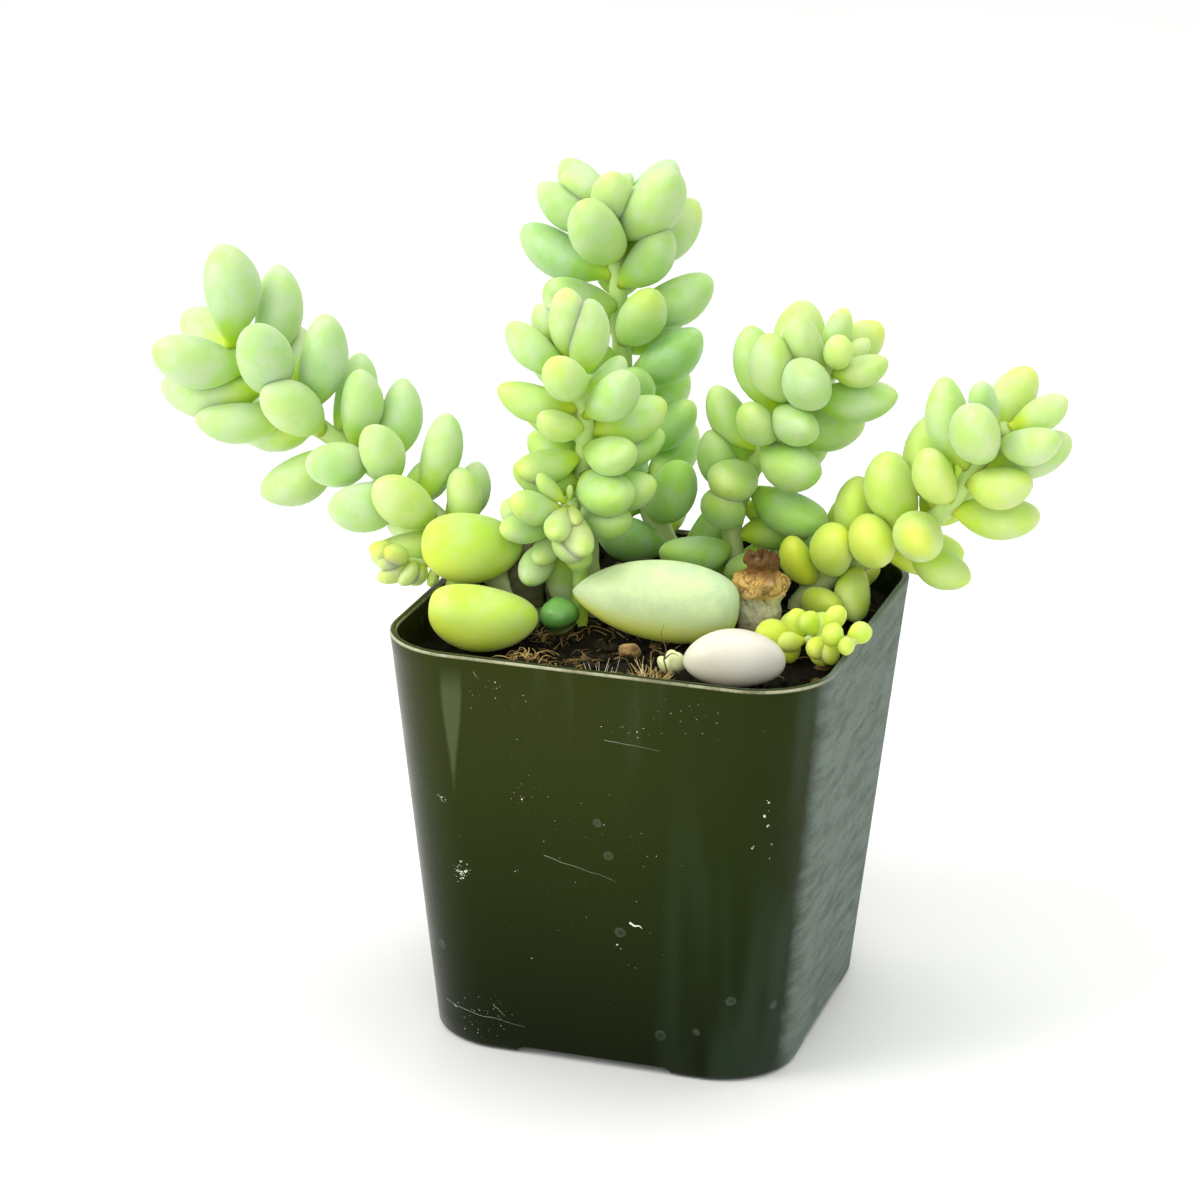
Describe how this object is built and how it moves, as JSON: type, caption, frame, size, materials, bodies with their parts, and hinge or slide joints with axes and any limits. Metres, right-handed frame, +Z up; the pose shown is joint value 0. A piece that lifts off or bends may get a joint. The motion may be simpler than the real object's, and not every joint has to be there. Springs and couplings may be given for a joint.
{
  "type": "potted succulent",
  "caption": "Burro's tail succulent with plump, spirally set leaves on leaning shoots, in a square tapered nursery pot filled with soil.",
  "frame": {"origin": "centre of the flat underside of the pot", "axes": "+Z up along the pot, +X to the right and -Y towards the front wall of the pot"},
  "size_m": [0.1182, 0.0685, 0.1044],
  "materials": {
    "pot_plastic": "glossy dark olive plastic, scuffed",
    "soil": "damp dark potting mix",
    "leaf_left": "pale green, waxy bloom",
    "leaf_tall": "pale green, waxy bloom",
    "leaf_middle": "pale green, waxy bloom",
    "leaf_front": "pale green, waxy bloom",
    "leaf_right": "green, waxy bloom",
    "leaf_low": "yellow-green, waxy bloom",
    "sprout_left": "light yellow-green",
    "sprout_right": "bright yellow-green",
    "stub": "green stalk, cut end",
    "bulb": "dark green, waxy",
    "bark": "dry brown and grey bark",
    "leaf_yellow": "yellow-green, waxy",
    "leaf_wide": "pale mottled green",
    "spent_leaf": "pinkish white, dull",
    "plantlet": "cream",
    "chunk": "brown bark"
  },
  "bodies": {
    "root": {"pot": "pot_plastic", "soil": "soil", "stem_left": "leaf_left", "stem_tall": "leaf_tall", "stem_middle": "leaf_middle", "stem_front": "leaf_front", "stem_right": "leaf_right", "stem_low": "leaf_low", "sprout_left": "sprout_left", "sprout_right": "sprout_right", "cut_stub": "stub", "bulb_shoot": "bulb", "stump": "bark", "leaf_soil": "leaf_yellow", "leaf_wide": "leaf_wide", "pale_leaf": "spent_leaf", "plantlet": "plantlet", "bark_chunk": "chunk"}
  },
  "joints": []
}
